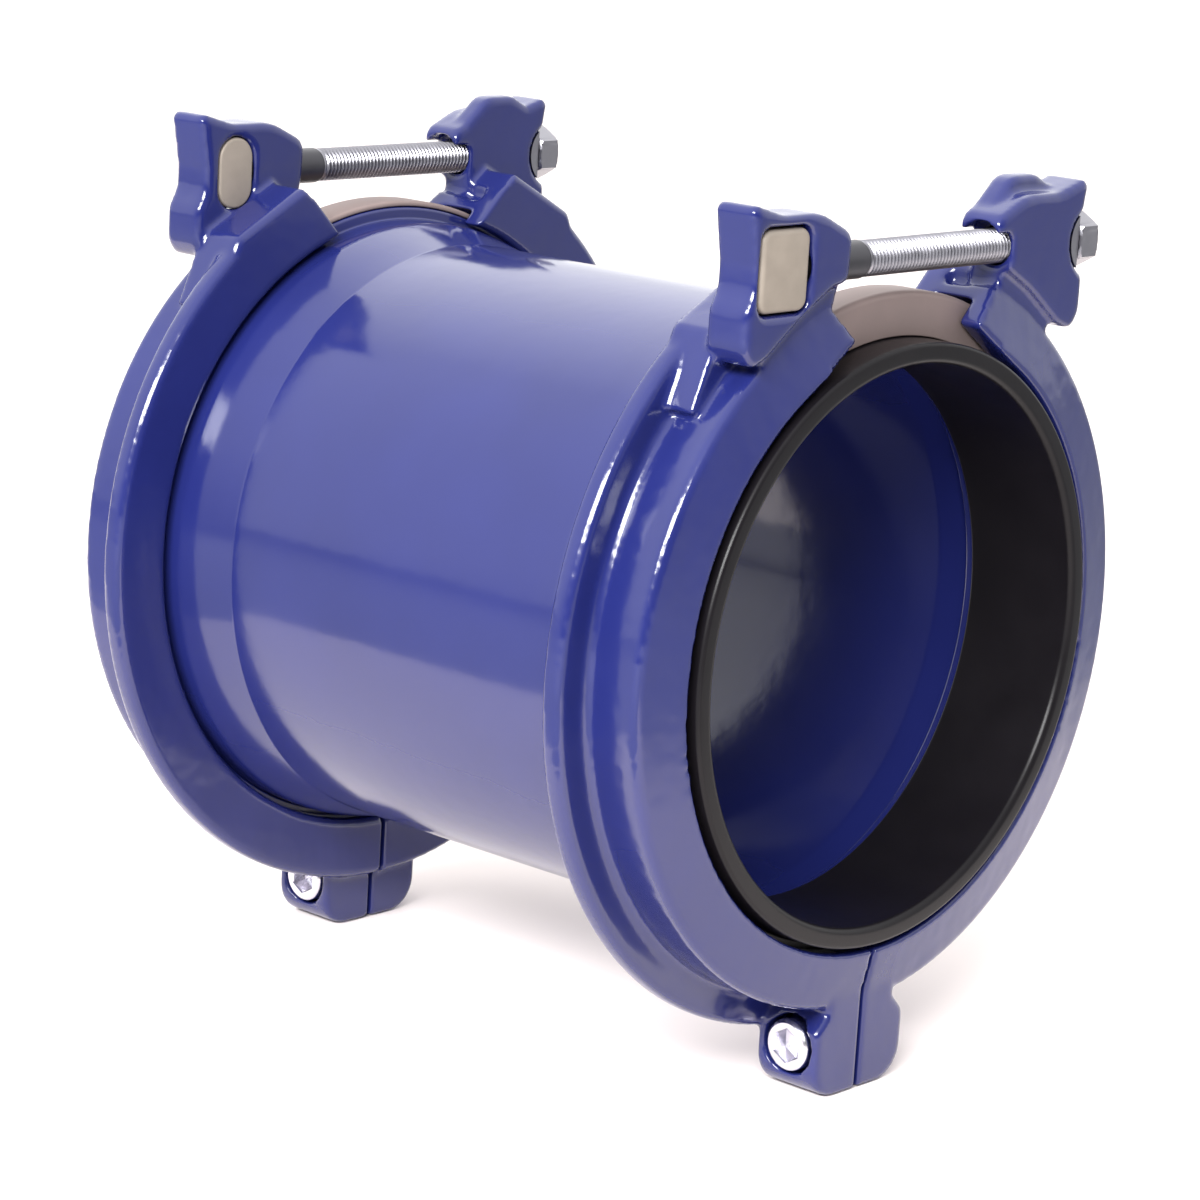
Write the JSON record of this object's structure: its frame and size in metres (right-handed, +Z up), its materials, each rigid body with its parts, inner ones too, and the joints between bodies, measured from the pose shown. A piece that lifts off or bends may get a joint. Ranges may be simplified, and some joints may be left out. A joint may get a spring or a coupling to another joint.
{
  "type": "top bolt pipe coupling",
  "caption": "Pipe coupling with a coated steel sleeve, rubber rings and a split clamp at each end, each tightened by a bolt across the top.",
  "frame": {"origin": "on the pipe axis, midway between the two clamps' outer faces", "axes": "+X along the pipe towards the front clamp, +Y towards the lugs with the nuts, +Z up through the gap between the lugs"},
  "size_m": [0.273, 0.272, 0.3078],
  "materials": {
    "blue_coating": "glossy powder coating",
    "black_rubber": "smooth matt",
    "bare_sheet": "dull bare sheet",
    "zinc_steel": "zinc plated",
    "bright_screw": "bright zinc plated"
  },
  "bodies": {
    "housing": {"sleeve": "blue_coating", "gasket_front": "black_rubber", "bridge_plate_front": "bare_sheet", "bottom_screw_front": "bright_screw", "spring_washer_front": "zinc_steel", "bottom_nut_front": "zinc_steel", "gasket_rear": "black_rubber", "bridge_plate_rear": "bare_sheet", "bottom_screw_rear": "bright_screw", "spring_washer_rear": "zinc_steel", "bottom_nut_rear": "zinc_steel"},
    "left_half_front": {"clamp_left_front": "blue_coating"},
    "right_half_front": {"clamp_right_front": "blue_coating"},
    "bolt_front": {"top_bolt_front": "zinc_steel"},
    "washer_front": {"saddle_washer_front": "zinc_steel"},
    "nut_front": {"top_nut_front": "zinc_steel"},
    "left_half_rear": {"clamp_left_rear": "blue_coating"},
    "right_half_rear": {"clamp_right_rear": "blue_coating"},
    "bolt_rear": {"top_bolt_rear": "zinc_steel"},
    "washer_rear": {"saddle_washer_rear": "zinc_steel"},
    "nut_rear": {"top_nut_rear": "zinc_steel"}
  },
  "joints": [
    {"name": "left_close_front", "type": "hinge", "parent": "housing", "child": "left_half_front", "pos_m": [0.1185, 0, -0.138], "axis": [-1, 0, 0], "range_deg": [-0.25, 0.8]},
    {"name": "right_close_front", "type": "hinge", "parent": "housing", "child": "right_half_front", "pos_m": [0.1185, 0, -0.138], "axis": [1, 0, 0], "range_deg": [-0.25, 0.8]},
    {"name": "bolt_level_front", "type": "hinge", "parent": "left_half_front", "child": "bolt_front", "pos_m": [0.126, -0.0708, 0.13], "axis": [1, 0, 0], "range_deg": [-0.25, 0.8]},
    {"name": "washer_slide_front", "type": "slide", "parent": "bolt_front", "child": "washer_front", "axis": [0, -1, 0], "range_m": [-0.00234, 0.00748]},
    {"name": "nut_turn_front", "type": "hinge", "parent": "washer_front", "child": "nut_front", "pos_m": [0.126, 0.0896, 0.13], "axis": [0, -1, 0], "range_deg": [-481.12, 1539.56]},
    {"name": "left_close_rear", "type": "hinge", "parent": "housing", "child": "left_half_rear", "pos_m": [-0.1185, 0, -0.138], "axis": [-1, 0, 0], "range_deg": [-0.25, 0.8]},
    {"name": "right_close_rear", "type": "hinge", "parent": "housing", "child": "right_half_rear", "pos_m": [-0.1185, 0, -0.138], "axis": [1, 0, 0], "range_deg": [-0.25, 0.8]},
    {"name": "bolt_level_rear", "type": "hinge", "parent": "left_half_rear", "child": "bolt_rear", "pos_m": [-0.126, -0.0708, 0.13], "axis": [1, 0, 0], "range_deg": [-0.25, 0.8]},
    {"name": "washer_slide_rear", "type": "slide", "parent": "bolt_rear", "child": "washer_rear", "axis": [0, -1, 0], "range_m": [-0.00234, 0.00748]},
    {"name": "nut_turn_rear", "type": "hinge", "parent": "washer_rear", "child": "nut_rear", "pos_m": [-0.126, 0.0896, 0.13], "axis": [0, -1, 0], "range_deg": [-481.12, 1539.56]}
  ],
  "couplings": [
    {"joint": "right_close_front", "follows": "left_close_front", "ratio": 1},
    {"joint": "bolt_level_front", "follows": "left_close_front", "ratio": 1},
    {"joint": "washer_slide_front", "follows": "left_close_front", "m_per_rad": 0.536},
    {"joint": "nut_turn_front", "follows": "left_close_front", "ratio": 1924.4},
    {"joint": "right_close_rear", "follows": "left_close_rear", "ratio": 1},
    {"joint": "bolt_level_rear", "follows": "left_close_rear", "ratio": 1},
    {"joint": "washer_slide_rear", "follows": "left_close_rear", "m_per_rad": 0.536},
    {"joint": "nut_turn_rear", "follows": "left_close_rear", "ratio": 1924.4}
  ]
}
